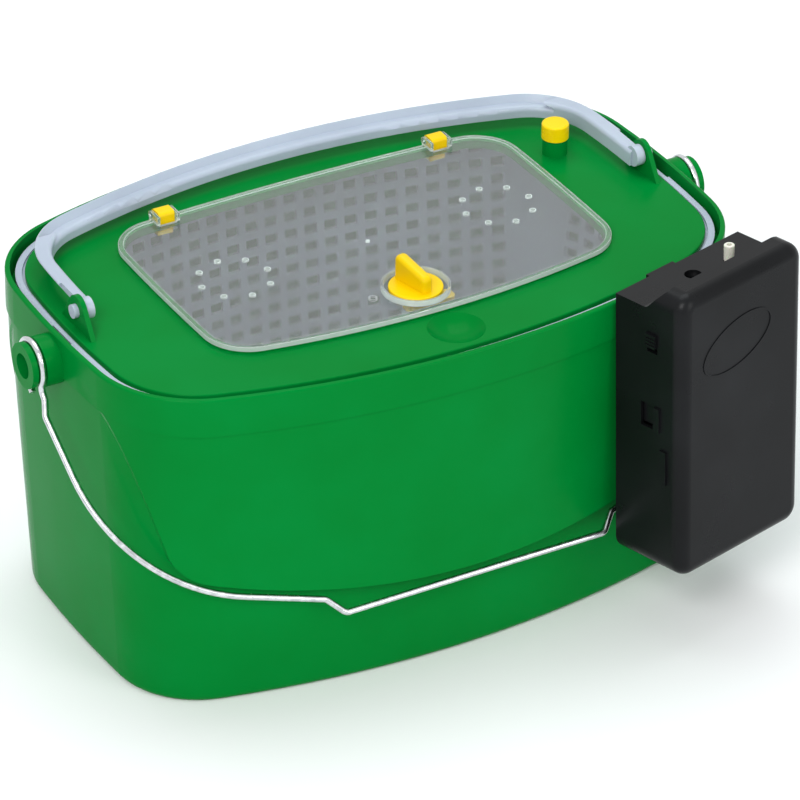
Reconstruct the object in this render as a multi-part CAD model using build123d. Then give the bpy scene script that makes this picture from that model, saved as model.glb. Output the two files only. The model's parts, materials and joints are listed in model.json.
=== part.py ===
from build123d import *
import math
import os

os.makedirs("parts", exist_ok=True)

# Frame: millimetres, origin on the floor under the middle of the bucket,
# +X along the bucket, -Y the side that carries the air pump, +Z up.

# ---------------------------------------------------------------- outer bucket
bucket_height = 175.4
rim_half_x = 170.0
rim_half_y = 111.65
rim_side_r = 438.45       # radius of the long sides in plan
rim_end_r = 567.3         # radius of the short ends in plan
rim_corner_r = 55.5
base_half_x = 160.6
base_half_y = 98.95
base_side_r = 503.3
base_end_r = 706.8
base_corner_r = 44.3
bucket_wall = 2.4
bucket_floor = 2.6
base_edge_r = 4.0
band_depth = 19.8         # upright band below the rim
band_step = 1.4           # how far the body steps in under the band
lip_width = 2.5
lip_round = 1.1
ledge_depth = 11.5        # top of the inner ledge below the rim
ledge_thickness = 2.5
ledge_reach = 6.8         # inner edge of the ledge, in from the rim outline

panel_depth = 121.5       # lowest point of the raised side panel below the rim
panel_top_half_x = 167.3
panel_low_half_x = 141.2
panel_arc_r = 450.0
panel_corner_r = 20.0
panel_inset_top = 0.9
panel_inset_low = 2.6

boss_drop = 15.0          # boss axis below the rim
boss_bore_r = 6.3
boss_bore_depth = 12.0
boss_stem_r = 9.7
boss_flange_r = 11.3
boss_flange_t = 3.0
boss_end_x = 185.0
pad_face_x = 178.0        # inner disc that the bail's eye runs against
pad_r = 12.4

# ---------------------------------------------------------------- wire bail
wire_d = 3.2
bail_angle = 44.0         # lean of the bail from straight down, towards -Y
eye_r = 11.7              # centreline radius of the eye round the boss
eye_bend_r = 5.0
eye_tail_reach = 16.0
eye_gap = 0.4             # play between the eye and the disc
arm_jog = 2.5             # the arm stands this far outside its eye
arm_jog_reach = 26.0
arm_corner_x = 173.7
arm_corner_reach = 116.4
arm_corner_r = 90.0
kink_outer_x = 79.0
kink_outer_reach = 146.8
kink_inner_x = 71.5
kink_r = 4.0
grip_reach = 155.7

# ---------------------------------------------------------------- inner liner
liner_lip_inset = 5.0     # outer edge of the liner rim, in from the bucket outline
liner_lip_inner = 8.2
liner_lip_wall = 1.8
liner_top_drop = 4.0      # top of the liner rim below the bucket rim
lid_seat_drop = 5.5       # seat that carries the lid
lid_seat_t = 2.2
liner_wall = 1.8
liner_wall_gap = 2.6      # liner wall stands clear of the ledge
liner_base_inset = 10.0   # in from the bucket's base outline
liner_base_z = 9.0
liner_floor = 2.0
notch_depth = 5.0         # finger notch in the outer edge of the liner rim
notch_reach = 1.2
notch_half_y = 9.5
mesh_w = 7.0              # one hole of the mesh wall
mesh_h = 5.4
mesh_pitch_x = 11.0
mesh_pitch_z = 9.65
mesh_top_drop = 20.2
mesh_rows = 13
mesh_cols_side = 23
mesh_cols_end = 11
drain_r = 3.0
drain_pitch = 24.0
drain_cols = 9
drain_rows = 5

# ---------------------------------------------------------------- lid
lid_gap = 1.4
lid_t = 3.0
lid_round = 0.8
hatch_half_x = 110.2
hatch_front_y = 70.6      # front edge of the hatch, from the middle
hatch_front_r = 480.0
hatch_back_y = 69.6       # the hinged edge is flatter than the front
hatch_back_r = 1500.0
hatch_end_r = 1500.0
hatch_corner_r = 24.0
hatch_overlap = 3.2       # hatch edge laps the opening by this much
coaming_t = 2.4
coaming_rise = 1.2
dimple_y = -85.0
dimple_r = 14.0
dimple_depth = 6.0
dimple_skin = 2.0
ear_inner_x = 153.9
ear_t = 2.5
ear_r = 7.5
ear_foot_half_y = 17.0
port_x = 126.5
port_y = 36.0
port_r = 6.2
port_bore_r = 4.2
port_height = 9.0

# ---------------------------------------------------------------- lid handle
handle_axis_z = 7.1       # pivot above the rim
handle_bottom = 2.0
handle_top = 10.5
handle_inset_top = 13.8
handle_inset_low = 20.0
grip_inner_half_y = 87.05
grip_inner_corner_r = 32.1
arm_inner_half_x = 147.8
handle_round = 0.8
grip_top = 7.8            # the grip is lower than its back wall
grip_wall = 1.5
grip_start_y = 58.0
grip_run = 8.0            # slope from the arms down to the grip
groove_depth = 0.8
ridge_w = 3.6
ridge_round = 2.5
knuckle_r = 5.25
knuckle_gap = 0.3
pivot_pin_r = 3.4
pivot_pin_play = 0.08
pivot_pin_end = 2.4

# ---------------------------------------------------------------- hatch, clips and latch
hatch_lift = 0.3          # hatch rides this far above the coaming
hatch_t = 2.5
hatch_border = 2.6
hatch_field_drop = 0.5
hatch_round = 0.45
vent_r = 1.3
vent_ring_x = 72.4
vent_ring_r = 17.65
vent_count = 8
hinge_x = 76.0
hinge_y = 68.5
hinge_z = 3.0             # above the rim
rod_r = 1.5
rod_play = 0.1
lug_in = 4.6
lug_t = 1.4
lug_r = 2.1
lug_heel = 1.2            # foot of the lug behind the hinge axis
window_front_y = 60.7
clip_half_x = 4.2
clip_front_y = 62.5
clip_back_y = 70.6
clip_top = 5.7
clip_leg_t = 1.6
clip_tab_h = 2.4
clip_fit = 0.3
knob_x = -2.0
knob_y = -50.0
knob_r = 13.2
knob_t = 1.8
knob_float = 0.2
knob_turn = 12.6
fin_t = 6.2
fin_high = 13.4
fin_low = 7.6
fin_front = -9.2
fin_back = 12.6
fin_round = 2.4
collar_r = 16.6
collar_t = 1.0
collar_h = 2.8
stem_r = 4.0
stem_play = 0.06
tongue_top = 7.8          # below the rim
tongue_t = 2.2
tongue_w = 8.0
tongue_reach = 20.5
latch_screw_r = 1.4
latch_screw_head_r = 2.8
latch_screw_head_t = 1.4
cap_r = 6.8
cap_h = 8.0
cap_plug_len = 6.0
cap_plug_play = 0.3

# ---------------------------------------------------------------- air pump case
pump_yaw = 14.43          # pump turns with the curve of the side
pump_tilt = 2.52          # its foot stands out, over the bail wire
pump_start = -36.62       # left edge, along the tangent
pump_clear = 0.5          # back of the case off the bucket rim
case_w = 84.2
case_back_d = 29.5
case_d = 43.4
case_top = 6.8
case_shelf_d = 20.0
case_bottom = -135.9
cover_top = 18.0
case_wall = 2.0
shelf_round = 4.0         # hollow corner where the case rises behind the shelf
cover_corner_r = 9.0
cover_edge_r = 6.5
badge_x = 37.8
badge_z = -18.1
badge_rx = 24.0
badge_rz = 12.6
badge_turn = 14.8
badge_line = 0.9
badge_proud = 0.4
hook_x0 = 26.0
hook_x1 = 44.0
hook_rise = 0.3
hook_t = 4.2
hook_leg_in = 3.7
hook_leg_t = 1.4
hook_leg_len = 7.0
window_d0 = 16.5
window_d1 = 24.5
window_z0 = -58.0
window_z1 = -45.0
catch_d0 = 25.5
catch_d1 = 29.2
catch_proud = 1.2
pull_d1 = 33.5
pull_z0 = -85.0
pull_z1 = -67.0
tongue_play = 0.3
cover_tongue_t = 1.5

# ---------------------------------------------------------------- inside the pump case
cell_r = 17.1
cell_len = 60.0
cell_nub_r = 4.75
cell_nub_h = 1.5
cell_gap = 1.8
cell_d = 21.7
cell_foot = -129.5
cradle_t = 2.0
shelf_z = -64.0
spring_r = 5.0
spring_wire_r = 0.45
plate_t = 0.6
motor_x = 22.0
motor_d = 16.5
motor_r = 12.0
motor_foot = -60.0
motor_len = 28.0
shaft_r = 1.2
shaft_play = 0.06
head_w = 25.0
head_h = 18.0
head_wall = 2.0
head_bore_r = 9.5
eccentric_r = 6.0
eccentric_throw = 2.0
eccentric_t = 5.0
diaphragm_t = 1.0
valve_cap_h = 8.0
barb_r = 2.0
barb_bore_r = 1.1
barb_len = 7.0
pump_screw_r = 1.2
pump_screw_head_r = 2.2
pump_screw_grid = 19.0
nipple_x = 60.5
nipple_d = 16.5
nipple_r = 2.6
nipple_bore_r = 1.3
nipple_neck_r = 2.3
nipple_seat = 0.5         # the neck ends this far above the case
nipple_rise = 8.5
nipple_flange_r = 4.6
nipple_flange_t = 1.5
nipple_tail = 7.0
tube_wall = 1.0
tube_play = 0.1
cup_x = 38.6
cup_d = 13.6
cup_r = 4.3
cup_wall = 1.5
cup_depth = 6.0
cup_screw_r = 1.5
cup_screw_head_r = 3.4
switch_d0 = 20.7
switch_d1 = 26.8
switch_z0 = -13.0
switch_z1 = -6.0
switch_travel = 3.0
switch_proud = 1.8
switch_play = 0.3
switch_box_x = 8.5


# ---------------------------------------------------------------- helpers
def plan(shape, inset, z):
    """Face whose outline is four wide arcs joined by four corner arcs."""
    half_x, half_y, r_side, r_end, r_corner = [v - inset for v in shape]
    side_c = Vector(0, r_side - half_y)
    end_c = Vector(half_x - r_end, 0)
    reach_side = r_side - r_corner
    reach_end = r_end - r_corner
    span = (end_c - side_c).length
    u = (end_c - side_c).normalized()
    along = (reach_side**2 - reach_end**2 + span**2) / (2 * span)
    across = math.sqrt(reach_side**2 - along**2)
    c = side_c + u * along + Vector(-u.Y, u.X) * across
    s = side_c + (c - side_c).normalized() * r_side
    e = end_c + (c - end_c).normalized() * r_end
    m = c + ((s - c) + (e - c)).normalized() * r_corner
    edges = [
        ThreePointArc((-s.X, s.Y), (0, -half_y), (s.X, s.Y)),
        ThreePointArc((s.X, s.Y), (m.X, m.Y), (e.X, e.Y)),
        ThreePointArc((e.X, e.Y), (half_x, 0), (e.X, -e.Y)),
        ThreePointArc((e.X, -e.Y), (m.X, -m.Y), (s.X, -s.Y)),
        ThreePointArc((s.X, -s.Y), (0, half_y), (-s.X, -s.Y)),
        ThreePointArc((-s.X, -s.Y), (-m.X, -m.Y), (-e.X, -e.Y)),
        ThreePointArc((-e.X, -e.Y), (-half_x, 0), (-e.X, e.Y)),
        ThreePointArc((-e.X, e.Y), (-m.X, m.Y), (-s.X, s.Y)),
    ]
    return Pos(0, 0, z) * make_face(Wire(edges))


def prism(shape, inset, z0, z1):
    return extrude(plan(shape, inset, z0), amount=z1 - z0, dir=(0, 0, 1))


def ring(shape, outer, inner, z0, z1):
    return prism(shape, outer, z0, z1) - prism(shape, inner, z0, z1)


def hatch_prism(inset, z0, z1):
    """Prism with the hatch's outline: a bowed front half and a flatter hinged half."""
    far = rim_half_x
    front = prism(hatch_front, inset, z0, z1) & block(-far, far, -far, 0, z0, z1)
    back = prism(hatch_back, inset, z0, z1) & block(-far, far, 0, far, z0, z1)
    return front + back


def taper(shape0, inset0, z0, shape1, inset1, z1):
    return loft([plan(shape0, inset0, z0), plan(shape1, inset1, z1)], ruled=True)


def block(x0, x1, y0, y1, z0, z1):
    return Pos((x0 + x1) / 2, (y0 + y1) / 2, (z0 + z1) / 2) * Box(
        abs(x1 - x0), abs(y1 - y0), abs(z1 - z0)
    )


def rod_z(x, y, r, z0, z1):
    return Pos(x, y, (z0 + z1) / 2) * Cylinder(r, abs(z1 - z0))


def rod_x(y, z, r, x0, x1):
    return Pos((x0 + x1) / 2, y, z) * Rot(0, 90, 0) * Cylinder(r, abs(x1 - x0))


def rounded_path(points, radii):
    """Edges of a polyline whose inner corners are rounded."""
    edges = []
    start = points[0]
    for i in range(1, len(points) - 1):
        p = points[i]
        a = (points[i - 1] - p).normalized()
        b = (points[i + 1] - p).normalized()
        half = math.acos(max(-1.0, min(1.0, a.dot(b)))) / 2
        reach = radii[i - 1] / math.tan(half)
        bisector = (a + b).normalized()
        middle = p + bisector * (radii[i - 1] / math.sin(half) - radii[i - 1])
        edges.append(Line(start, p + a * reach))
        edges.append(ThreePointArc(p + a * reach, middle, p + b * reach))
        start = p + b * reach
    edges.append(Line(start, points[-1]))
    return edges


def save(name, part):
    part.label = name
    export_step(part, "parts/" + name + ".step")


rim = (rim_half_x, rim_half_y, rim_side_r, rim_end_r, rim_corner_r)
base = (base_half_x, base_half_y, base_side_r, base_end_r, base_corner_r)
hatch_front = (hatch_half_x, hatch_front_y, hatch_front_r, hatch_end_r, hatch_corner_r)
hatch_back = (hatch_half_x, hatch_back_y, hatch_back_r, hatch_end_r, hatch_corner_r)
rim_z = bucket_height
boss_z = rim_z - boss_drop
band_z = rim_z - band_depth
ledge_z = rim_z - ledge_depth


# ---------------------------------------------------------------- outer bucket
def panel_face(inset):
    """Front view of one raised side panel, drawn on the XZ plane."""
    top = band_z + 6.0 - inset
    slope = (panel_top_half_x - panel_low_half_x) / (panel_depth - band_depth)
    low = rim_z - panel_depth + inset
    sag = panel_low_half_x**2 / (2 * panel_arc_r)
    x_top = panel_top_half_x + slope * (top - band_z) - inset
    x_low = panel_low_half_x - inset + slope * sag
    outline = Wire([
        Line((x_top, top), (-x_top, top)),
        Line((-x_top, top), (-x_low, low + sag)),
        ThreePointArc((-x_low, low + sag), (0, low), (x_low, low + sag)),
        Line((x_low, low + sag), (x_top, top)),
    ])
    face = make_face(outline)
    corners = face.vertices().sort_by(Axis.Y)[:2]
    return fillet(corners, panel_corner_r - inset)


def panel(inset):
    """Solid of one side panel on -Y, inset by a wall thickness."""
    stand = taper(
        rim, panel_inset_low + inset, rim_z - panel_depth - 8.0,
        rim, panel_inset_top + inset, band_z + 6.0,
    )
    window = extrude(Plane.XZ * panel_face(inset), amount=rim_half_y + 20.0, dir=(0, -1, 0))
    return stand & (Pos(0, -12, 0) * window)


body = taper(base, 0, 0, rim, band_step, band_z)
body = fillet(body.faces().sort_by(Axis.Z)[0].edges(), base_edge_r)
outside = body + prism(rim, 0, band_z, rim_z)
raised = panel(0)
outside = outside + raised + mirror(raised, about=Plane.XZ)
rim_edges = outside.faces().sort_by(Axis.Z)[-1].edges()
outside = fillet(rim_edges, lip_round)

inside = taper(base, bucket_wall, bucket_floor, rim, band_step + bucket_wall, ledge_z - ledge_thickness)
hollow = panel(bucket_wall)
inside = inside + hollow + mirror(hollow, about=Plane.XZ)
inside = inside + prism(rim, ledge_reach, ledge_z - ledge_thickness - 1, ledge_z + 1)
inside = inside + prism(rim, lip_width, ledge_z, rim_z + 1)
outer_bucket = outside - inside

boss_root = prism(rim, lip_width - 0.5, 0, rim_z + 1)
for side in (1, -1):
    boss = rod_x(0, boss_z, boss_stem_r, side * (rim_half_x - 3.5), side * boss_end_x)
    boss = boss + rod_x(0, boss_z, pad_r, side * (rim_half_x - 3.5), side * pad_face_x)
    boss = boss + rod_x(
        0, boss_z, boss_flange_r, side * (boss_end_x - boss_flange_t), side * boss_end_x
    )
    boss = boss - rod_x(
        0, boss_z, boss_bore_r, side * (boss_end_x - boss_bore_depth), side * (boss_end_x + 1)
    )
    outer_bucket = outer_bucket + (boss - boss_root)
save("outer_bucket", outer_bucket)


# ---------------------------------------------------------------- wire bail
lean = math.radians(bail_angle)
wire_r = wire_d / 2
eye_x = pad_face_x + eye_gap + wire_r
boss_centre = Vector(0, 0, boss_z)
down = Vector(0, -math.sin(lean), -math.cos(lean))
across = Vector(0, -math.cos(lean), math.sin(lean))
side_axis = Vector(1, 0, 0)


def on_eye(angle, reach):
    """Point in the plane of the eye, at an angle from the arm."""
    return (
        boss_centre
        + side_axis * eye_x
        + down * (reach * math.cos(angle))
        + across * (reach * math.sin(angle))
    )


bend_angle = math.asin(eye_bend_r / (eye_r + eye_bend_r))
bend_start = (eye_r + eye_bend_r) * math.cos(bend_angle)
tail_angle = math.radians(315.0)
leave_angle = tail_angle - math.acos(eye_r / eye_tail_reach)
bend_centre = on_eye(bend_angle, eye_r + eye_bend_r)
entry = on_eye(0, bend_start)
touch = on_eye(bend_angle, eye_r)
bend_mid = bend_centre + (
    (entry - bend_centre) + (touch - bend_centre)
).normalized() * eye_bend_r
arm_points = [
    boss_centre + side_axis * x + down * reach
    for x, reach in (
        (0, grip_reach),
        (kink_inner_x, grip_reach),
        (kink_outer_x, kink_outer_reach),
        (arm_corner_x, arm_corner_reach),
        (eye_x + arm_jog, arm_jog_reach),
        (eye_x, bend_start + 2.5),
        (eye_x, bend_start),
    )
]
half_bail = rounded_path(arm_points, (kink_r, kink_r, arm_corner_r, kink_r, kink_r))
half_bail += [
    ThreePointArc(entry, bend_mid, touch),
    ThreePointArc(touch, on_eye((bend_angle + leave_angle) / 2, eye_r), on_eye(leave_angle, eye_r)),
    Line(on_eye(leave_angle, eye_r), on_eye(tail_angle, eye_tail_reach)),
]
half_path = Wire(half_bail)
half_wire = sweep(
    Plane(origin=arm_points[0], x_dir=(0, 1, 0), z_dir=(1, 0, 0)) * Circle(wire_r),
    path=half_path,
)
bail_wire = half_wire + mirror(half_wire, about=Plane.YZ)
save("bail_wire", bail_wire)

# ---------------------------------------------------------------- inner liner
lip_top = rim_z - liner_top_drop
seat_z = rim_z - lid_seat_drop
wall_inset = ledge_reach + liner_wall_gap
seat_low = seat_z - lid_seat_t
liner = prism(rim, liner_lip_inset, ledge_z, lip_top)
liner = liner - prism(rim, liner_lip_inner, seat_z, lip_top + 1)
liner = liner - prism(rim, liner_lip_inset + liner_lip_wall, ledge_z - 1, seat_low)
liner_shell = taper(base, liner_base_inset, liner_base_z, rim, wall_inset, seat_low + 1.0)
liner_room = taper(
    base, liner_base_inset + liner_wall, liner_base_z + liner_floor,
    rim, wall_inset + liner_wall, seat_z + 0.5,
)
liner = liner + liner_shell - liner_room
mesh_top = rim_z - mesh_top_drop
mesh_holes = []
for row in range(mesh_rows):
    z = mesh_top - row * mesh_pitch_z
    for col in range(mesh_cols_side):
        x = (col - (mesh_cols_side - 1) / 2) * mesh_pitch_x
        mesh_holes.append(Pos(x, 0, z) * Box(mesh_w, 2 * rim_half_y, mesh_h))
    for col in range(mesh_cols_end):
        y = (col - (mesh_cols_end - 1) / 2) * mesh_pitch_x
        mesh_holes.append(Pos(0, y, z) * Box(2 * rim_half_x, mesh_w, mesh_h))
drain_z = liner_base_z + liner_floor / 2
for i in range(drain_cols):
    for j in range(drain_rows):
        x = (i - (drain_cols - 1) / 2) * drain_pitch
        y = (j - (drain_rows - 1) / 2) * drain_pitch
        mesh_holes.append(rod_z(x, y, drain_r, drain_z - 3, drain_z + 3))
for side in (1, -1):
    notch = block(
        side * (rim_half_x - liner_lip_inset - notch_reach), side * rim_half_x,
        -notch_half_y, notch_half_y, lip_top - notch_depth, lip_top + 1,
    )
    liner = liner - notch
inner_liner = liner - mesh_holes
save("inner_liner", inner_liner)

# ---------------------------------------------------------------- lid
lid_edge = liner_lip_inner + lid_gap
deck_z = seat_z + lid_t
lid = prism(rim, lid_edge, seat_z, deck_z)
lid = fillet(lid.faces().sort_by(Axis.Z)[-1].edges(), lid_round)
coaming_top = deck_z + coaming_rise
lid = lid + hatch_prism(hatch_overlap - coaming_t, seat_z, coaming_top)
lid = lid - hatch_prism(hatch_overlap, seat_z - 1, coaming_top + 1)

dish_r = (dimple_r**2 + dimple_depth**2) / (2 * dimple_depth)
dish_z = deck_z - dimple_depth + dish_r
dish_under = Pos(0, dimple_y, dish_z) * Sphere(dish_r + dimple_skin)
dish_under = dish_under & block(
    -2 * dimple_r, 2 * dimple_r, dimple_y - 2 * dimple_r, dimple_y + 2 * dimple_r,
    deck_z - 4 * dimple_depth, seat_z + 0.5,
)
lid = lid + dish_under - Pos(0, dimple_y, dish_z) * Sphere(dish_r)

pivot_z = rim_z + handle_axis_z
foot = Vector(ear_foot_half_y, seat_z + 0.5 - pivot_z)
turn = math.atan2(foot.Y, foot.X) + math.acos(ear_r / foot.length)
ear_touch = Vector(ear_r * math.cos(turn), ear_r * math.sin(turn))
ear_outline = make_face(Polyline(
    (-foot.X, foot.Y), (foot.X, foot.Y), (ear_touch.X, ear_touch.Y),
    (-ear_touch.X, ear_touch.Y), close=True,
))
ear_face = ear_outline + Circle(ear_r)
for side in (1, -1):
    ear_plane = Plane(
        origin=(side * ear_inner_x, 0, pivot_z), x_dir=(0, side, 0), z_dir=(side, 0, 0)
    )
    lid = lid + extrude(ear_plane * ear_face, amount=ear_t, dir=(side, 0, 0))
    lid = lid - rod_x(
        0, pivot_z, pivot_pin_r + pivot_pin_play,
        side * (ear_inner_x - 1), side * (ear_inner_x + ear_t + 1),
    )
port_top = deck_z + port_height
lid = lid + rod_z(port_x, port_y, port_r, seat_z + 0.5, port_top)
lid = lid - rod_z(port_x, port_y, port_bore_r, seat_z - 1, port_top + 1)

clip_inner_x = hinge_x - clip_half_x - clip_fit
hinge_sag = hatch_back_r - math.sqrt(hatch_back_r**2 - clip_inner_x**2)
coaming_back = hatch_back_y - hinge_sag - hatch_overlap + coaming_t
leg_y0 = coaming_back + clip_fit
leg_y1 = leg_y0 + clip_leg_t
leg_low = seat_z - clip_fit - clip_tab_h
tab_y0 = coaming_back - coaming_t - 0.4
for side in (1, -1):
    slot = block(
        side * hinge_x - clip_half_x - clip_fit, side * hinge_x + clip_half_x + clip_fit,
        leg_y0 - clip_fit, leg_y1 + clip_fit, seat_z - 1, deck_z + 0.01,
    )
    lid = lid - slot
save("lid", lid)

# ---------------------------------------------------------------- lid handle
handle_z0 = rim_z + handle_bottom
handle_z1 = rim_z + handle_top
grip_inner = (
    arm_inner_half_x, grip_inner_half_y, rim_side_r - rim_half_y + grip_inner_half_y,
    rim_end_r - rim_half_x + arm_inner_half_x, grip_inner_corner_r,
)
blank = taper(rim, handle_inset_low, handle_z0, rim, handle_inset_top, handle_z1)
blank = blank - prism(grip_inner, 0, handle_z0 - 1, handle_z1 + 1)
handle = fillet(blank.faces().sort_by(Axis.Z)[-1].inner_wires()[0].edges(), ridge_round)
handle = fillet(handle.faces().sort_by(Axis.Z)[-1].outer_wire().edges(), handle_round)
grip_z = rim_z + grip_top
grip_face = Plane.YZ * make_face(Polyline(
    (grip_start_y, handle_z0 + 1), (grip_start_y, grip_z),
    (grip_start_y + grip_run, handle_z1 + 1), (rim_half_y, handle_z1 + 1),
    (rim_half_y, handle_z0 + 1), close=True,
))
grip_region = Pos(-rim_half_x, 0, 0) * extrude(grip_face, amount=2 * rim_half_x, dir=(1, 0, 0))
wall_slope = (handle_inset_low - handle_inset_top) / (handle_z1 - handle_z0)
grip_room = taper(
    rim, handle_inset_low + grip_wall, handle_z0,
    rim, handle_inset_top + grip_wall - wall_slope, handle_z1 + 1,
)
handle = handle - (grip_room & grip_region)
grip = blank & block(-rim_half_x, rim_half_x, -rim_half_y, rim_half_y, handle_z0, grip_z)
grip = fillet(grip.faces().sort_by(Axis.Z)[-1].inner_wires()[0].edges(), ridge_round)
groove = grip_room & block(
    -rim_half_x, rim_half_x, -rim_half_y, rim_half_y, grip_z - groove_depth, handle_z1,
)
groove = groove - prism(grip_inner, -ridge_w, handle_z0, handle_z1 + 1)
handle = handle + ((grip - groove) & grip_region)
handle = handle & block(-rim_half_x, rim_half_x, 0, rim_half_y, handle_z0, handle_z1)
arm_face_x = ear_inner_x - knuckle_gap
for side in (1, -1):
    handle = handle - block(
        side * arm_face_x, side * rim_half_x, -1, ear_foot_half_y + 4.0,
        handle_z0 - 1, handle_z1 + 1,
    )
    handle = handle + rod_x(
        0, pivot_z, knuckle_r, side * (arm_face_x - 4.6), side * arm_face_x
    )
    pin_end = ear_inner_x + ear_t + pivot_pin_end
    handle = handle + rod_x(0, pivot_z, pivot_pin_r, side * (arm_face_x - 1), side * pin_end)
save("lid_handle", handle)

# ---------------------------------------------------------------- hatch
hatch_z0 = coaming_top + hatch_lift
hatch_z1 = hatch_z0 + hatch_t
hatch = hatch_prism(0, hatch_z0, hatch_z1)
hatch = fillet(hatch.faces().sort_by(Axis.Z)[-1].edges(), hatch_round)
hatch = hatch - hatch_prism(hatch_border, hatch_z1 - hatch_field_drop, hatch_z1 + 1)
field_z = hatch_z1 - hatch_field_drop
axis_z = rim_z + hinge_z
for side in (1, -1):
    hatch = hatch - block(
        side * hinge_x - lug_in, side * hinge_x + lug_in, window_front_y, hatch_back_y + 5,
        hatch_z0 - 1, hatch_z1 + 1,
    )
    for hand in (1, -1):
        inner = side * hinge_x + hand * lug_in
        outer = inner + hand * lug_t
        lug = block(inner, outer, window_front_y, hinge_y, hatch_z0, axis_z + lug_r)
        lug = lug + block(inner, outer, hinge_y - 1, hinge_y + lug_heel, hatch_z0, axis_z)
        lug = lug + rod_x(hinge_y, axis_z, lug_r, inner, outer)
        hatch = hatch + lug
    hatch = hatch + rod_x(
        hinge_y, axis_z, rod_r, side * hinge_x - lug_in - 1, side * hinge_x + lug_in + 1
    )
    for k in range(vent_count):
        a = 2 * math.pi * k / vent_count
        hatch = hatch - rod_z(
            side * vent_ring_x + vent_ring_r * math.cos(a), vent_ring_r * math.sin(a),
            vent_r, hatch_z0 - 1, hatch_z1 + 1,
        )
collar_z1 = field_z + collar_h
hatch = hatch + rod_z(knob_x, knob_y, collar_r, field_z - 0.5, collar_z1)
hatch = hatch - rod_z(knob_x, knob_y, collar_r - collar_t, field_z, collar_z1 + 1)
hatch = hatch - rod_z(knob_x, knob_y, stem_r + stem_play, hatch_z0 - 1, hatch_z1 + 1)
save("hatch", hatch)

# ---------------------------------------------------------------- hinge clips
clips = []
for side in (1, -1):
    x0 = side * hinge_x - clip_half_x
    x1 = side * hinge_x + clip_half_x
    clip = block(x0, x1, leg_y0, clip_back_y, deck_z, rim_z + clip_top)
    clip = clip + block(
        x0, x1, clip_front_y, leg_y0 + 1, coaming_top, rim_z + clip_top
    )
    clip = clip + block(x0, x1, leg_y0, leg_y1, leg_low, deck_z + 1)
    clip = clip + block(x0, x1, tab_y0, leg_y0 + 0.5, leg_low, leg_low + clip_tab_h)
    crown = clip.edges().filter_by(Axis.X).sort_by(Axis.Z)[-2:]
    clip = fillet(crown, 2.0)
    clip = clip - rod_x(hinge_y, axis_z, rod_r + rod_play, x0 - 1, x1 + 1)
    mouth_half = rod_r - 0.3
    clip = clip - block(x0 - 1, x1 + 1, hinge_y, clip_back_y + 1, axis_z - mouth_half, axis_z + mouth_half)
    clips.append(clip)
save("hinge_clips", Compound(children=clips))

# ---------------------------------------------------------------- latch
tongue_z1 = rim_z - tongue_top
tongue_z0 = tongue_z1 - tongue_t
knob_z0 = field_z + knob_float
knob_z1 = knob_z0 + knob_t
knob = rod_z(0, 0, knob_r, knob_z0, knob_z1)
knob = fillet(knob.faces().sort_by(Axis.Z)[-1].edges(), 0.6)
fin_side = make_face(Polyline(
    (fin_front, knob_z1 - 1), (fin_back, knob_z1 - 1),
    (fin_back, knob_z1 + fin_high), (fin_front, knob_z1 + fin_low), close=True,
))
fin_face = Plane.YZ * fin_side
fin = Pos(-fin_t / 2, 0, 0) * extrude(fin_face, amount=fin_t, dir=(1, 0, 0))
fin = fillet(fin.edges().filter_by(Axis.X).sort_by(Axis.Z)[-2:], 3.0)
fin_rim = [e for e in fin.edges() if e.center().Z > knob_z1 + fin_low and abs(e.center().X) > 1]
fin = fillet(fin_rim, fin_round)
fin = fin & rod_z(0, 0, knob_r, knob_z0, knob_z1 + fin_high + 1)
knob = knob + fin
knob = knob + rod_z(0, 0, stem_r, tongue_z1, knob_z0 + 1)
knob = knob - rod_z(0, 0, latch_screw_r + 0.05, tongue_z1 - 1, tongue_z1 + 5)
knob = Pos(knob_x, knob_y, 0) * Rot(0, 0, knob_turn) * knob
save("latch_knob", knob)

tongue = block(-6, tongue_reach, -tongue_w / 2, tongue_w / 2, tongue_z0, tongue_z1)
tongue = fillet(tongue.edges().filter_by(Axis.Z), 3.0)
tongue = tongue - rod_z(0, 0, latch_screw_r + 0.1, tongue_z0 - 1, tongue_z1 + 1)
save("latch_tongue", Pos(knob_x, knob_y, 0) * tongue)

latch_screw = rod_z(0, 0, latch_screw_r, tongue_z0 - 0.5, tongue_z1 + 4.5)
latch_head = rod_z(0, 0, latch_screw_head_r, tongue_z0 - latch_screw_head_t, tongue_z0)
latch_head = latch_head - block(-3, 3, -0.4, 0.4, tongue_z0 - 2, tongue_z0 - 0.8)
save("latch_screw", Pos(knob_x, knob_y, 0) * (latch_screw + latch_head))

# ---------------------------------------------------------------- port cap
cap = rod_z(port_x, port_y, cap_r, port_top, port_top + cap_h)
cap = fillet(cap.faces().sort_by(Axis.Z)[-1].edges(), 1.0)
cap = cap + rod_z(
    port_x, port_y, port_bore_r - cap_plug_play, port_top - cap_plug_len, port_top + 1
)
save("port_cap", cap)


# ---------------------------------------------------------------- air pump case
# The case is drawn upright in its own frame: X along the case, -Y away from
# the bucket, Z up from the rim, then set against the side of the bucket.
yaw = math.radians(pump_yaw)
tilt = math.radians(pump_tilt)
along = Vector(math.cos(yaw), math.sin(yaw), 0)
away = Vector(math.sin(yaw), -math.cos(yaw), 0)
up = Vector(0, 0, math.cos(tilt)) - away * math.sin(tilt)
pump_origin = (
    Vector(0, rim_side_r - rim_half_y, rim_z)
    + away * (rim_side_r + pump_clear)
    + along * pump_start
)
pump_place = Plane(origin=pump_origin, x_dir=along, z_dir=up).location


def save_pump(name, part):
    save(name, pump_place * part)


def side_slab(points, x0, x1):
    """Slab drawn as (depth, height) points, spanning x0 to x1."""
    face = make_face(Polyline(*[(-d, z) for d, z in points], close=True))
    return Pos(x0, 0, 0) * extrude(Plane.YZ * face, amount=x1 - x0, dir=(1, 0, 0))


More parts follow.
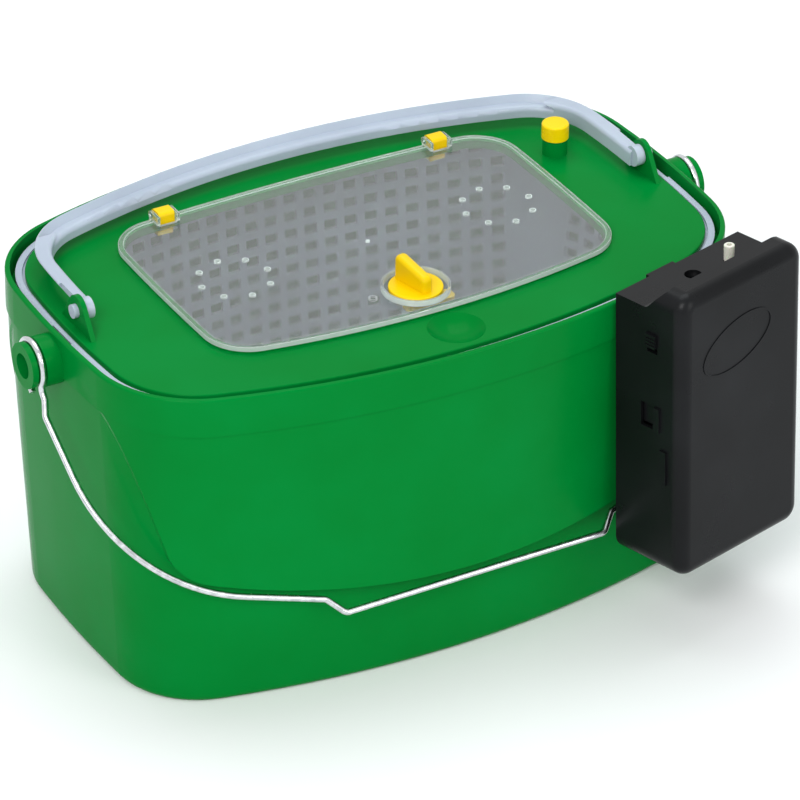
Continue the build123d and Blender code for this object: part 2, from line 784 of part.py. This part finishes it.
w = case_wall
slope_top = cover_top - 0.6
shell = side_slab(
    [(0, case_bottom), (0, case_top), (case_shelf_d, case_top),
     (case_back_d, slope_top), (case_back_d, case_bottom)],
    0, case_w,
)
shell = fillet(shell.edges().filter_by(Axis.Y).sort_by(Axis.Z)[:2], 4.0)
shelf_corner = [
    e for e in shell.edges().filter_by(Axis.X)
    if abs(e.center().Y + case_shelf_d) < 0.01 and abs(e.center().Z - case_top) < 0.01
]
shell = fillet(shelf_corner, shelf_round)
room = side_slab(
    [(w, case_bottom + w), (w, case_top - w), (case_shelf_d + w / 2, case_top - w),
     (case_back_d + 1, slope_top - w), (case_back_d + 1, case_bottom + w)],
    w, case_w - w,
)
side_trim = Pos(0, -case_d / 2, 0) * Rot(90, 0, 0) * extrude(
    Pos(case_w / 2, (case_bottom + cover_top) / 2)
    * RectangleRounded(case_w, cover_top - case_bottom, cover_corner_r),
    amount=case_d, both=True,
)
case_base = (shell & side_trim) - room
case_base = case_base + block(w / 2, case_w - w / 2, -case_back_d, -w / 2, shelf_z - w, shelf_z)
for z in (cell_foot + 12.0, cell_foot + cell_len - 12.0):
    cradle = block(w / 2, case_w - w / 2, -(cell_d - 3.0), -w / 2, z, z + cradle_t)
    for hand in (1, -1):
        x = case_w / 2 + hand * (cell_r + cell_gap / 2)
        cradle = cradle - rod_z(x, -cell_d, cell_r + 0.3, z - 1, z + cradle_t + 1)
    case_base = case_base + cradle

hook = block(hook_x0, hook_x1, -w, hook_leg_in + hook_leg_t, hook_rise, hook_rise + hook_t)
hook = hook + block(
    hook_x0, hook_x1, hook_leg_in, hook_leg_in + hook_leg_t, -hook_leg_len, hook_rise + 1
)
case_base = case_base + hook

cup_floor = case_top - cup_depth
case_base = case_base + rod_z(cup_x, -cup_d, cup_r + cup_wall, cup_floor - cup_wall, case_top - w / 2)
case_base = case_base - rod_z(cup_x, -cup_d, cup_r, cup_floor, case_top + 1)
case_base = case_base - rod_z(cup_x, -cup_d, cup_screw_r + 0.15, cup_floor - 5, cup_floor + 1)
case_base = case_base - rod_z(nipple_x, -nipple_d, nipple_r + 0.1, case_top - 5, case_top + 1)
case_base = case_base - block(-1, w + 1, -window_d1, -window_d0, window_z0, window_z1)
case_base = case_base + block(-catch_proud, w / 2, -catch_d1, -catch_d0, window_z0, window_z1)
case_base = case_base - block(
    -1, w + 0.01, -switch_d1 - switch_play, -switch_d0 + switch_play,
    switch_z0 - switch_travel - switch_play, switch_z1 + switch_play,
)
case_base = case_base + block(
    motor_x - motor_r + 3, motor_x + motor_r - 3, -(motor_d + 4), -w / 2,
    shelf_z - w / 2, motor_foot,
)
save_pump("pump_case_base", case_base)

# ---------------------------------------------------------------- pump case cover
cover = Rot(90, 0, 0) * extrude(
    Pos(case_w / 2, (case_bottom + cover_top) / 2)
    * RectangleRounded(case_w, cover_top - case_bottom, cover_corner_r),
    amount=case_d,
)
cover = cover & block(-1, case_w + 1, -case_d, -case_back_d, case_bottom - 1, cover_top + 1)
cover = fillet(cover.faces().sort_by(Axis.Y)[0].edges(), cover_edge_r)
cover_room = Rot(90, 0, 0) * extrude(
    Pos(case_w / 2, (case_bottom + cover_top) / 2)
    * RectangleRounded(case_w - 2 * w, cover_top - case_bottom - 2 * w, cover_corner_r - w),
    amount=case_d - w,
)
cover_room = fillet(cover_room.faces().sort_by(Axis.Y)[0].edges(), cover_edge_r - w)
cover = cover - cover_room
badge = Ellipse(badge_rx, badge_rz) - Ellipse(badge_rx - badge_line, badge_rz - badge_line)
cover = cover + Rot(90, 0, 0) * Pos(0, 0, case_d - w / 2) * extrude(
    Pos(badge_x, badge_z) * Rot(0, 0, badge_turn) * badge, amount=w / 2 + badge_proud
)
cover = cover + block(-catch_proud, w / 2, -pull_d1, -case_back_d, pull_z0, pull_z1)
cover = cover + block(
    w + tongue_play, w + tongue_play + cover_tongue_t, -case_back_d - 2, -window_d0 + 1,
    window_z0 + 1, window_z1 - 1,
)
cover = cover + block(
    w / 2, w + tongue_play + cover_tongue_t, -case_back_d - 3, -case_back_d,
    window_z0 + 1, window_z1 - 1,
)
save_pump("pump_case_cover", cover)

# ---------------------------------------------------------------- batteries and contacts
cells = []
springs = []
for hand in (1, -1):
    x = case_w / 2 + hand * (cell_r + cell_gap / 2)
    cell = rod_z(x, -cell_d, cell_r, cell_foot, cell_foot + cell_len - cell_nub_h)
    cell = fillet(cell.edges().filter_by(GeomType.CIRCLE), 0.8)
    nub = rod_z(x, -cell_d, cell_nub_r, cell_foot + cell_len - cell_nub_h - 1, cell_foot + cell_len)
    cells.append(cell + nub)
    foot_z = case_bottom + w + plate_t
    coil = Helix(pitch=1.25, height=cell_foot - foot_z - 2 * spring_wire_r, radius=spring_r)
    turn_wire = sweep(
        Plane(origin=coil @ 0, z_dir=coil % 0) * Circle(spring_wire_r), path=coil
    )
    springs.append(Pos(x, -cell_d, foot_z + spring_wire_r) * turn_wire)
save_pump("batteries", Compound(children=cells))
save_pump("contact_springs", Compound(children=springs))
reach = 2 * cell_r + cell_gap + 2 * spring_r + 4
low_plate = block(
    (case_w - reach) / 2, (case_w + reach) / 2, -cell_d - spring_r - 2, -cell_d + spring_r + 2,
    case_bottom + w, case_bottom + w + plate_t,
)
save_pump("low_contact", low_plate)
uppers = []
for hand in (1, -1):
    x = case_w / 2 + hand * (cell_r + cell_gap / 2)
    top_z = cell_foot + cell_len
    upper = block(x - 6, x + 6, -cell_d - 5, -w, top_z, top_z + plate_t)
    uppers.append(upper + block(x - 6, x + 6, -w - plate_t, -w, top_z, shelf_z - w))
save_pump("top_contacts", Compound(children=uppers))

# ---------------------------------------------------------------- motor and pump
mx = motor_x
my = -motor_d
motor_top = motor_foot + motor_len
motor = rod_z(mx, my, motor_r, motor_foot, motor_top)
motor = fillet(motor.edges().filter_by(GeomType.CIRCLE), 1.0)
motor = motor - rod_z(mx, my, shaft_r + shaft_play, motor_top - 12, motor_top + 1)
save_pump("pump_motor", motor)

head_top = motor_top + head_h
half = head_w / 2
head = block(mx - half, mx + half, my - half, my + half, motor_top, head_top)
head = fillet(head.edges().filter_by(Axis.Z), 3.0)
head = head - rod_z(mx, my, head_bore_r, motor_top + head_wall, head_top + 1)
head = head - rod_z(mx, my, shaft_r + 0.6, motor_top - 1, motor_top + head_wall + 1)
disc_z = motor_top + head_wall + 2.0
rotor = rod_z(mx, my, shaft_r, motor_top - 11.5, disc_z + eccentric_t)
rotor = rotor + rod_z(mx + eccentric_throw, my, eccentric_r, disc_z, disc_z + eccentric_t)
rotor = rotor + rod_z(mx + 2 * eccentric_throw, my, 1.5, disc_z, disc_z + eccentric_t + 3.0)
save_pump("pump_eccentric", rotor)

sheet = block(mx - half, mx + half, my - half, my + half, head_top, head_top + diaphragm_t)
sheet = fillet(sheet.edges().filter_by(Axis.Z), 3.0)
cap_z0 = head_top + diaphragm_t
cap_z1 = cap_z0 + valve_cap_h
valve = block(mx - half, mx + half, my - half, my + half, cap_z0, cap_z1)
valve = fillet(valve.edges().filter_by(Axis.Z), 3.0)
valve = valve - rod_z(mx, my, 6.0, cap_z0 - 1, cap_z0 + 3.5)
barb_z = cap_z0 + valve_cap_h / 2
barb_end = mx + half + barb_len
valve = valve + rod_x(my, barb_z, barb_r, mx + half - 1, barb_end)
valve = valve - rod_x(my, barb_z, barb_bore_r, mx + 5.0, barb_end + 1)
valve = valve - rod_z(mx + 5.0, my, barb_bore_r, cap_z0, barb_z)
screws = []
for i in (1, -1):
    for j in (1, -1):
        x = mx + i * pump_screw_grid / 2
        y = my + j * pump_screw_grid / 2
        tip = head_top - 8.0
        head = head - rod_z(x, y, pump_screw_r, tip - 1, head_top + 1)
        sheet = sheet - rod_z(x, y, pump_screw_r + 0.3, head_top - 1, cap_z0 + 1)
        valve = valve - rod_z(x, y, pump_screw_r + 0.3, cap_z0 - 1, cap_z1 + 1)
        screw = rod_z(x, y, pump_screw_r - 0.05, tip, cap_z1 + 0.5)
        screw_head = rod_z(x, y, pump_screw_head_r, cap_z1, cap_z1 + 1.2)
        screws.append(screw + screw_head)
save_pump("pump_head", head)
save_pump("pump_diaphragm", sheet)
save_pump("valve_cap", valve)
save_pump("pump_screws", Compound(children=screws))

# ---------------------------------------------------------------- air outlet
nx = nipple_x
ny = -nipple_d
under = case_top - w
nipple = rod_z(nx, ny, nipple_r, case_top + nipple_seat, case_top + nipple_rise)
nipple = fillet(nipple.edges().filter_by(GeomType.CIRCLE).sort_by(Axis.Z)[-1], 0.5)
nipple = nipple + rod_z(nx, ny, nipple_neck_r, under - 1, case_top + nipple_seat + 1)
nipple = nipple + rod_z(nx, ny, nipple_flange_r, under - nipple_flange_t, under)
nipple = nipple + rod_z(nx, ny, barb_r, under - nipple_tail, under - 1)
nipple = nipple - rod_z(nx, ny, nipple_bore_r, under - nipple_tail - 1, case_top + nipple_rise + 1)
save_pump("air_nipple", nipple)

tube_end = Vector(nx, ny, under - nipple_flange_t - 0.5)
tube_points = [
    Vector(mx + half + 0.8, my, barb_z),
    Vector(nx, ny, barb_z),
    tube_end,
]
tube_path = Wire(rounded_path(tube_points, (8.0,)))
tube_start = Plane(origin=tube_points[0], z_dir=(tube_points[1] - tube_points[0]).normalized())
tube_r = barb_r + tube_play
tube = sweep(tube_start * Circle(tube_r + tube_wall), path=tube_path)
tube = tube - sweep(tube_start * Circle(tube_r), path=tube_path)
save_pump("inner_tube", tube)

# ---------------------------------------------------------------- screw in the top cup
cup_screw = rod_z(cup_x, -cup_d, cup_screw_r, cup_floor - 4.0, cup_floor + 1)
cup_head = rod_z(cup_x, -cup_d, cup_screw_head_r, cup_floor, cup_floor + 2.2)
cup_head = fillet(cup_head.faces().sort_by(Axis.Z)[-1].edges(), 0.9)
cup_head = cup_head - block(
    cup_x - 4, cup_x + 4, -cup_d - 0.5, -cup_d + 0.5, cup_floor + 1.2, cup_floor + 3
)
save_pump("cup_screw", cup_screw + cup_head)

# ---------------------------------------------------------------- power switch
body_z0 = switch_z0 - switch_travel - 2.0
body_z1 = switch_z1 + 2.0
switch_body = block(w, switch_box_x, -switch_d1 - 1.5, -switch_d0 + 1.5, body_z0, body_z1)
switch_body = switch_body - block(
    w - 1, w + 2.6, -switch_d1 - switch_play, -switch_d0 + switch_play,
    switch_z0 - switch_travel - switch_play, switch_z1 + switch_play,
)
save_pump("switch_body", switch_body)
button = block(-switch_proud, w + 2.3, -switch_d1, -switch_d0, switch_z0, switch_z1)
for k in range(3):
    z = switch_z0 + (k + 1) * (switch_z1 - switch_z0) / 4
    button = button - block(
        -switch_proud - 1, -switch_proud + 0.5, -switch_d1 - 1, -switch_d0 + 1, z - 0.4, z + 0.4
    )
save_pump("power_switch", button)
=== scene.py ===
import json
import math

import bpy
from mathutils import Matrix, Vector

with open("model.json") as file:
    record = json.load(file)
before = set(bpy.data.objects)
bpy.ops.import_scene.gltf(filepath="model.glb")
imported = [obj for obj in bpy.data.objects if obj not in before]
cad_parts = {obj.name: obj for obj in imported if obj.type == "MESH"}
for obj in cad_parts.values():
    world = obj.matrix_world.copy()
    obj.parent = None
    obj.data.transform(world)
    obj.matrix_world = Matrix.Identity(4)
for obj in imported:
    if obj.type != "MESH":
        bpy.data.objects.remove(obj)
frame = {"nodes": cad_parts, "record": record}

# Places on the hatch in metres, as it lies at rest.
VENT_RING_X = 0.0724      # centres of the two rings of vent holes
VENT_RING_R = 0.01765
VENT_COUNT = 8            # holes in each ring
VENT_GLINT_R = 0.0017       # the painted highlight round each hole
LUG_Y = 0.0590            # the hinge lugs stand behind this line
HATCH_TOP_Z = 0.1771      # and above this height
UPRIGHT = 0.75            # a face is upright where its normal's Z is below this
GATE_R = 0.0011           # gate mark in the middle of the hatch
POINTER = (-0.0239, -0.0476)
POINTER_R = 0.0019        # small circle beside the knob
POINTER_LINE = 0.0003     # half the width of its line

NOISE_RANGE = (0.3, 0.7)  # where most values of a noise texture lie
SHARP_EDGE = 0.75         # how little a rounded normal agrees with the true one on a sharp edge
FLOOR_HALF = 12.0

# Camera, solved from the rim of the bucket.
FRAME_PX = 800.0
FOCAL_PX = 5457.46
SENSOR_MM = 36.0
CAMERA_AT = (-1.11695, -1.96677, 1.505)
AZIMUTH = math.radians(-30.01)
ELEVATION = math.radians(32.1)
ROLL = math.radians(0.70)


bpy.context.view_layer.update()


# ------------------------------------------------------------ node helpers
def new_material(name):
    """A material whose nodes are its shader and its output: material, node tree, shader."""
    mat = bpy.data.materials.new(name)
    mat.use_nodes = True
    tree = mat.node_tree
    tree.nodes.clear()
    out = tree.nodes.new("ShaderNodeOutputMaterial")
    shader = tree.nodes.new("ShaderNodeBsdfPrincipled")
    tree.links.new(shader.outputs["BSDF"], out.inputs["Surface"])
    return mat, tree, shader


def combine(tree, operation, first, second=None):
    """One maths step; each operand is a socket or a number."""
    node = tree.nodes.new("ShaderNodeMath")
    node.operation = operation
    for place, operand in enumerate((first, second)):
        if operand is None:
            continue
        if isinstance(operand, (int, float)):
            node.inputs[place].default_value = operand
        else:
            tree.links.new(operand, node.inputs[place])
    return node.outputs["Value"]


def length(tree, dx, dy):
    """The distance that dx and dy make."""
    square_x = combine(tree, "MULTIPLY", dx, dx)
    square_y = combine(tree, "MULTIPLY", dy, dy)
    return combine(tree, "SQRT", combine(tree, "ADD", square_x, square_y))


def coordinates(tree, kind):
    """The texture coordinates of one kind, split into X, Y and Z."""
    coord = tree.nodes.new("ShaderNodeTexCoord")
    split = tree.nodes.new("ShaderNodeSeparateXYZ")
    tree.links.new(coord.outputs[kind], split.inputs["Vector"])
    return split


def noise(tree, scale, detail=4.0, rough=0.55, distortion=0.0, stretch=None):
    """Noise laid on the object, drawn out along its axes where stretch is given."""
    coord = tree.nodes.new("ShaderNodeTexCoord")
    place = coord.outputs["Object"]
    if stretch is not None:
        mapping = tree.nodes.new("ShaderNodeMapping")
        mapping.inputs["Scale"].default_value = stretch
        tree.links.new(place, mapping.inputs["Vector"])
        place = mapping.outputs["Vector"]
    tex = tree.nodes.new("ShaderNodeTexNoise")
    tex.inputs["Scale"].default_value = scale
    tex.inputs["Detail"].default_value = detail
    tex.inputs["Roughness"].default_value = rough
    tex.inputs["Distortion"].default_value = distortion
    tree.links.new(place, tex.inputs["Vector"])
    return tex.outputs["Fac"]


def ramp(tree, source, stops):
    """Colours over a source; each stop is a place and a colour."""
    node = tree.nodes.new("ShaderNodeValToRGB")
    while len(node.color_ramp.elements) < len(stops):
        node.color_ramp.elements.new(0.5)
    for element, (place, color) in zip(node.color_ramp.elements, stops):
        element.position = place
        element.color = color
    tree.links.new(source, node.inputs["Fac"])
    return node.outputs["Color"]


def map_range(tree, source, source_range, low, high):
    """The source, with its range moved to run from low to high."""
    node = tree.nodes.new("ShaderNodeMapRange")
    node.inputs["From Min"].default_value = source_range[0]
    node.inputs["From Max"].default_value = source_range[1]
    node.inputs["To Min"].default_value = low
    node.inputs["To Max"].default_value = high
    tree.links.new(source, node.inputs["Value"])
    return node.outputs["Result"]


def bump(tree, height, strength, distance, under=None):
    """The normal that a height gives, laid over another normal where one is given."""
    node = tree.nodes.new("ShaderNodeBump")
    node.inputs["Strength"].default_value = strength
    node.inputs["Distance"].default_value = distance
    tree.links.new(height, node.inputs["Height"])
    if under is not None:
        tree.links.new(under, node.inputs["Normal"])
    return node.outputs["Normal"]


def edge_wear_and_glint(tree, radius):
    """0 on flat ground, towards 1 on sharp edges: real wear on the plastics, a painted highlight on the
    clear hatch.
    """
    bevel = tree.nodes.new("ShaderNodeBevel")
    bevel.samples = 4
    bevel.inputs["Radius"].default_value = radius
    geo = tree.nodes.new("ShaderNodeNewGeometry")
    dot = tree.nodes.new("ShaderNodeVectorMath")
    dot.operation = "DOT_PRODUCT"
    tree.links.new(bevel.outputs["Normal"], dot.inputs[0])
    tree.links.new(geo.outputs["Normal"], dot.inputs[1])
    return map_range(tree, dot.outputs["Value"], (1.0, SHARP_EDGE), 0.0, 1.0)


# ------------------------------------------------------------ plastics and metals
def moulded(name, dark, base, light, rough, grain, grain_depth, shine, subsurface=0.0, wear=0.0):
    """Injection-moulded plastic: soft colour drift, fine grain, slow surface waviness."""
    mat, tree, shader = new_material(name)
    drift = noise(tree, scale=14.0, detail=3.0)
    color = ramp(tree, drift, [(0.3, dark), (0.52, base), (0.75, light)])
    if wear > 0:
        scuffs = noise(tree, scale=160.0, detail=6.0, rough=0.7)
        worn = combine(tree, "MULTIPLY", edge_wear_and_glint(tree, 0.0012), scuffs)
        mix = tree.nodes.new("ShaderNodeMix")
        mix.data_type = "RGBA"
        tree.links.new(combine(tree, "MULTIPLY", worn, wear), mix.inputs["Factor"])
        tree.links.new(color, mix.inputs["A"])
        mix.inputs["B"].default_value = light
        color = mix.outputs["Result"]
    tree.links.new(color, shader.inputs["Base Color"])
    smear = noise(tree, scale=42.0, detail=5.0, rough=0.6, distortion=0.4)
    gloss = map_range(tree, smear, NOISE_RANGE, rough * 0.85, rough * 1.2)
    tree.links.new(gloss, shader.inputs["Roughness"])
    waves = bump(tree, noise(tree, scale=22.0, detail=1.0), 0.12, 0.0006)
    surface = bump(tree, noise(tree, scale=grain, detail=2.0), 0.5, grain_depth, under=waves)
    tree.links.new(surface, shader.inputs["Normal"])
    shader.inputs["IOR"].default_value = 1.49
    shader.inputs["Specular IOR Level"].default_value = shine
    if subsurface > 0:
        shader.inputs["Subsurface Weight"].default_value = subsurface
        shader.inputs["Subsurface Radius"].default_value = (0.004, 0.006, 0.004)
        shader.inputs["Subsurface Scale"].default_value = 0.5
    return mat


def metal(name, base, light, rough, stretch, scale):
    """Drawn or turned metal: fine lines along one axis, faint tarnish."""
    mat, tree, shader = new_material(name)
    lines = noise(tree, scale, detail=5.0, rough=0.5, stretch=stretch)
    tree.links.new(ramp(tree, lines, [(0.35, base), (0.7, light)]), shader.inputs["Base Color"])
    gloss = map_range(tree, lines, NOISE_RANGE, rough * 0.7, rough * 1.3)
    tree.links.new(gloss, shader.inputs["Roughness"])
    tree.links.new(bump(tree, lines, 0.25, 0.00005), shader.inputs["Normal"])
    shader.inputs["Metallic"].default_value = 1.0
    return mat


# ------------------------------------------------------------ the clear hatch
def vent_glint_mask(tree):
    """1 close to the vent holes of the hatch, 0 elsewhere; the hatch is painted pale there as a highlight.
    """
    place = coordinates(tree, "Object")
    x = combine(tree, "SUBTRACT", combine(tree, "ABSOLUTE", place.outputs["X"]), VENT_RING_X)
    y = place.outputs["Y"]
    step = 2 * math.pi / VENT_COUNT
    turn = combine(tree, "ROUND", combine(tree, "DIVIDE", combine(tree, "ARCTAN2", y, x), step))
    turn = combine(tree, "MULTIPLY", turn, step)
    hole_x = combine(tree, "MULTIPLY", combine(tree, "COSINE", turn), VENT_RING_R)
    hole_y = combine(tree, "MULTIPLY", combine(tree, "SINE", turn), VENT_RING_R)
    off = length(tree, combine(tree, "SUBTRACT", x, hole_x), combine(tree, "SUBTRACT", y, hole_y))
    return combine(tree, "LESS_THAN", off, VENT_GLINT_R)


def round_mark(tree, x, y, radius, half_width):
    """1 on a thin circle round (x, y), or on a dot where radius is 0."""
    place = coordinates(tree, "Object")
    dx = combine(tree, "SUBTRACT", place.outputs["X"], x)
    dy = combine(tree, "SUBTRACT", place.outputs["Y"], y)
    off = length(tree, dx, dy)
    away = combine(tree, "ABSOLUTE", combine(tree, "SUBTRACT", off, radius))
    return combine(tree, "LESS_THAN", away, half_width)


def upright_face_glints(tree):
    """1 on the upright edges of the hatch, 0 on its flat faces and on the hinge lugs; the hatch is painted
    pale there as a highlight.
    """
    face = coordinates(tree, "Normal")
    place = coordinates(tree, "Object")
    upright = combine(tree, "LESS_THAN", combine(tree, "ABSOLUTE", face.outputs["Z"]), UPRIGHT)
    hinge_side = combine(tree, "GREATER_THAN", place.outputs["Y"], LUG_Y)
    above = combine(tree, "GREATER_THAN", place.outputs["Z"], HATCH_TOP_Z)
    lug = combine(tree, "MULTIPLY", hinge_side, above)
    return combine(tree, "MULTIPLY", upright, combine(tree, "SUBTRACT", 1.0, lug))


def clear(name, tint, rough):
    """Clear moulded sheet with faint flow marks and haze; painted highlights make it pale along its edges,
    upright faces and vent holes, and its real moulded marks are pale too.
    """
    mat, tree, shader = new_material(name)
    shader.inputs["Base Color"].default_value = tint
    shader.inputs["Transmission Weight"].default_value = 0.96
    shader.inputs["IOR"].default_value = 1.45
    haze = noise(tree, scale=30.0, detail=4.0)
    gloss = map_range(tree, haze, NOISE_RANGE, rough * 0.4, rough * 1.6)
    tree.links.new(gloss, shader.inputs["Roughness"])
    flow = noise(tree, scale=9.0, detail=2.0, rough=0.5, distortion=1.2)
    tree.links.new(bump(tree, flow, 0.06, 0.0004), shader.inputs["Normal"])
    # a pale shader that paints highlights on the hatch and also shows its real gate and pointer marks
    glint_and_mark_bsdf = tree.nodes.new("ShaderNodeBsdfPrincipled")
    glint_and_mark_bsdf.inputs["Base Color"].default_value = (0.84, 0.93, 0.89, 1)
    glint_and_mark_bsdf.inputs["Transmission Weight"].default_value = 0.25
    glint_and_mark_bsdf.inputs["Roughness"].default_value = 0.35
    marks = [    # painted highlights and real marks: where the sheet is pale, and how pale
        # painted highlights on the sharp edges, upright faces and vent rims; the gate dot and pointer
        # circle are real marks
        (edge_wear_and_glint(tree, 0.0007), 0.75),
        (upright_face_glints(tree), 0.7),
        (vent_glint_mask(tree), 0.85),
        (round_mark(tree, 0.0, 0.0, 0.0, GATE_R), 0.8),
        (round_mark(tree, *POINTER, POINTER_R, POINTER_LINE), 0.35),
    ]
    glint_and_mark_paleness = 0.0
    for mask, strength in marks:
        glint_and_mark_paleness = combine(tree, "MAXIMUM", glint_and_mark_paleness, combine(tree, "MULTIPLY", mask, strength))
    mix = tree.nodes.new("ShaderNodeMixShader")
    tree.links.new(glint_and_mark_paleness, mix.inputs["Fac"])
    tree.links.new(shader.outputs["BSDF"], mix.inputs[1])
    tree.links.new(glint_and_mark_bsdf.outputs["BSDF"], mix.inputs[2])
    out = next(n for n in tree.nodes if n.bl_idname == "ShaderNodeOutputMaterial")
    tree.links.new(mix.outputs["Shader"], out.inputs["Surface"])
    return mat


# ------------------------------------------------------------ one material for each slot
MOULDED = {
    "green_plastic": dict(
        dark=(0.0, 0.176, 0.022, 1), base=(0.0, 0.190, 0.026, 1), light=(0.0, 0.206, 0.032, 1),
        rough=0.22, grain=900.0, grain_depth=0.000012, shine=0.03, wear=0.15,
    ),
    "pale_plastic": dict(
        dark=(0.36, 0.41, 0.49, 1), base=(0.40, 0.455, 0.54, 1), light=(0.45, 0.51, 0.60, 1),
        rough=0.33, grain=700.0, grain_depth=0.00002, shine=0.35, subsurface=0.25,
    ),
    "yellow_plastic": dict(
        dark=(0.78, 0.50, 0.0, 1), base=(0.86, 0.60, 0.001, 1), light=(0.92, 0.68, 0.002, 1),
        rough=0.30, grain=800.0, grain_depth=0.00002, shine=0.15, subsurface=0.10,
    ),
    "black_plastic": dict(
        dark=(0.004, 0.0043, 0.0048, 1), base=(0.006, 0.0064, 0.0072, 1), light=(0.010, 0.0107, 0.012, 1),
        rough=0.30, grain=2600.0, grain_depth=0.00002, shine=0.12, wear=0.4,
    ),
    "white_plastic": dict(
        dark=(0.66, 0.65, 0.55, 1), base=(0.74, 0.73, 0.63, 1), light=(0.82, 0.81, 0.72, 1),
        rough=0.38, grain=900.0, grain_depth=0.00002, shine=0.4, subsurface=0.3,
    ),
    "rubber_sheet": dict(
        dark=(0.012, 0.012, 0.012, 1), base=(0.02, 0.02, 0.02, 1), light=(0.03, 0.03, 0.03, 1),
        rough=0.7, grain=1500.0, grain_depth=0.00004, shine=0.3,
    ),
    "cell_jacket": dict(
        dark=(0.02, 0.06, 0.18, 1), base=(0.03, 0.08, 0.24, 1), light=(0.04, 0.10, 0.28, 1),
        rough=0.3, grain=1200.0, grain_depth=0.00001, shine=0.5,
    ),
}
METAL = {
    "plated_wire": dict(
        base=(0.50, 0.52, 0.54, 1), light=(0.72, 0.74, 0.76, 1), rough=0.22, stretch=(1, 1, 1), scale=320.0,
    ),
    "steel": dict(
        base=(0.45, 0.45, 0.46, 1), light=(0.64, 0.64, 0.65, 1), rough=0.3, stretch=(1, 1, 12), scale=260.0,
    ),
}
slots = {name: moulded(name, **look) for name, look in MOULDED.items()}
slots.update({name: metal(name, **look) for name, look in METAL.items()})
slots["clear_plastic"] = clear("clear_plastic", tint=(0.93, 0.97, 0.96, 1), rough=0.05)

for part in frame["record"]["subparts"]:
    node = frame["nodes"][part["node"]]
    for place in node.material_slots:
        place.material = slots[part["material_slot"]]

# ------------------------------------------------------------ floor, light, camera
floor_mesh = bpy.data.meshes.new("floor")
floor_mesh.from_pydata(
    [(x * FLOOR_HALF, y * FLOOR_HALF, 0) for x, y in ((-1, -1), (1, -1), (1, 1), (-1, 1))],
    [], [(0, 1, 2, 3)],
)
floor = bpy.data.objects.new("floor", floor_mesh)
bpy.context.scene.collection.objects.link(floor)
floor_mat, floor_tree, floor_shader = new_material("pale_floor")
floor_shader.inputs["Base Color"].default_value = (0.93, 0.93, 0.93, 1)
floor_shader.inputs["Roughness"].default_value = 0.9
floor_mesh.materials.append(floor_mat)

# The world is white where the camera, a reflection or a view through the hatch meets it,
# and a dimmer fill for everything that it lights.
world = bpy.data.worlds.new("studio")
bpy.context.scene.world = world
world.use_nodes = True
sky = world.node_tree
sky.nodes.clear()
sky_out = sky.nodes.new("ShaderNodeOutputWorld")
seen = sky.nodes.new("ShaderNodeBackground")
seen.inputs["Color"].default_value = (1, 1, 1, 1)
seen.inputs["Strength"].default_value = 1.0
fill = sky.nodes.new("ShaderNodeBackground")
fill.inputs["Color"].default_value = (0.95, 0.98, 1.0, 1)
fill.inputs["Strength"].default_value = 0.55
rays = sky.nodes.new("ShaderNodeLightPath")
direct = combine(sky, "MAXIMUM", rays.outputs["Is Camera Ray"], rays.outputs["Is Glossy Ray"])
direct = combine(sky, "MAXIMUM", direct, rays.outputs["Is Transmission Ray"])
blend = sky.nodes.new("ShaderNodeMixShader")
sky.links.new(direct, blend.inputs["Fac"])
sky.links.new(fill.outputs["Background"], blend.inputs[1])
sky.links.new(seen.outputs["Background"], blend.inputs[2])
sky.links.new(blend.outputs["Shader"], sky_out.inputs["Surface"])


def softbox(name, place, target, width, height, power, color=(1, 1, 1)):
    """A rectangular lamp at a place, turned to its target."""
    data = bpy.data.lights.new(name, "AREA")
    data.shape = "RECTANGLE"
    data.size = width
    data.size_y = height
    data.energy = power
    data.color = color
    lamp = bpy.data.objects.new(name, data)
    bpy.context.scene.collection.objects.link(lamp)
    lamp.location = place
    aim = Vector(target) - Vector(place)
    lamp.rotation_euler = aim.to_track_quat("-Z", "Y").to_euler()


softbox("key", (-1.6, -1.5, 1.9), (0, 0, 0.1), 1.2, 1.2, 42.0)
softbox("front", (0.9, -2.0, 0.9), (0.05, 0, 0.08), 1.0, 1.4, 14.0)
softbox("top", (0.2, 0.6, 2.2), (0, 0, 0.1), 1.8, 1.4, 26.0, (0.92, 0.98, 1.0))

cam_data = bpy.data.cameras.new("camera")
cam_data.sensor_width = SENSOR_MM
cam_data.lens = FOCAL_PX / FRAME_PX * SENSOR_MM
cam_data.clip_end = 50.0
camera = bpy.data.objects.new("camera", cam_data)
bpy.context.scene.collection.objects.link(camera)
back = Vector((
    math.sin(AZIMUTH) * math.cos(ELEVATION),
    -math.cos(AZIMUTH) * math.cos(ELEVATION),
    math.sin(ELEVATION),
))
level = (-back).cross(Vector((0, 0, 1))).normalized()
rise = level.cross(-back)
right = level * math.cos(ROLL) + rise * math.sin(ROLL)
upright = rise * math.cos(ROLL) - level * math.sin(ROLL)
turn = Matrix((right, upright, back)).transposed().to_4x4()
camera.matrix_world = Matrix.Translation(CAMERA_AT) @ turn
bpy.context.scene.camera = camera
bpy.context.scene.view_settings.view_transform = "Standard"
